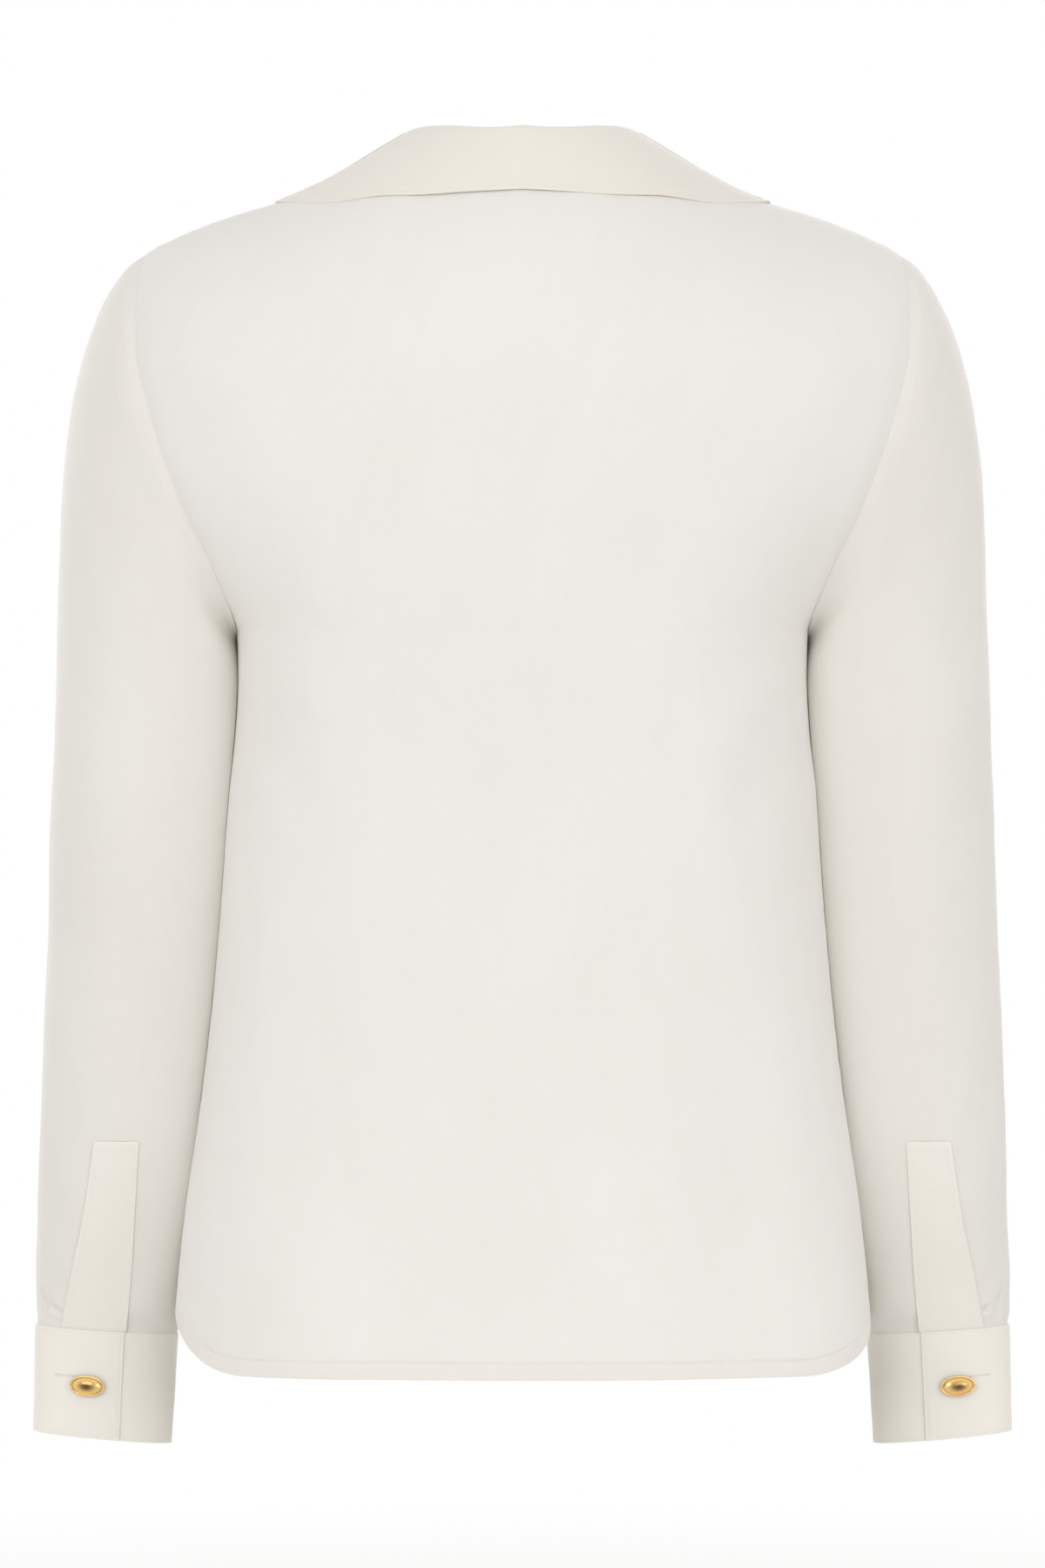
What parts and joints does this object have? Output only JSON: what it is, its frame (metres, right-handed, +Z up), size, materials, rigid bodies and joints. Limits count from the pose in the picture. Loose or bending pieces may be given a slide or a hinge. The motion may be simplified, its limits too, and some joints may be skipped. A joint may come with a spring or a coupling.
{
  "type": "long-sleeve polo shirt",
  "caption": "Long-sleeve polo shirt in cream silk with a turned-down collar, buttoned cuffs and open hem, hollow and filled out as if worn.",
  "frame": {"origin": "between the shoulders at the base of the neck, where a wearer carries the shirt", "axes": "+Z up, the front faces -Y, +X to the wearer's left"},
  "size_m": [0.546, 0.2449, 0.7278],
  "materials": {
    "silk_body": "soft low sheen",
    "silk_sleeve": "soft low sheen",
    "silk_trim": "soft low sheen, stitched",
    "gold": "polished"
  },
  "bodies": {
    "root": {"back": "silk_body", "front": "silk_body", "collar": "silk_trim", "front_placket": "silk_trim", "front_button_1": "gold", "front_button_2": "gold", "front_button_3": "gold", "sleeve_left": "silk_sleeve", "sleeve_right": "silk_sleeve", "sleeve_placket_left": "silk_trim", "sleeve_placket_right": "silk_trim", "cuff_left": "silk_trim", "cuff_right": "silk_trim", "cuff_button_left": "gold", "cuff_button_right": "gold"}
  },
  "joints": []
}
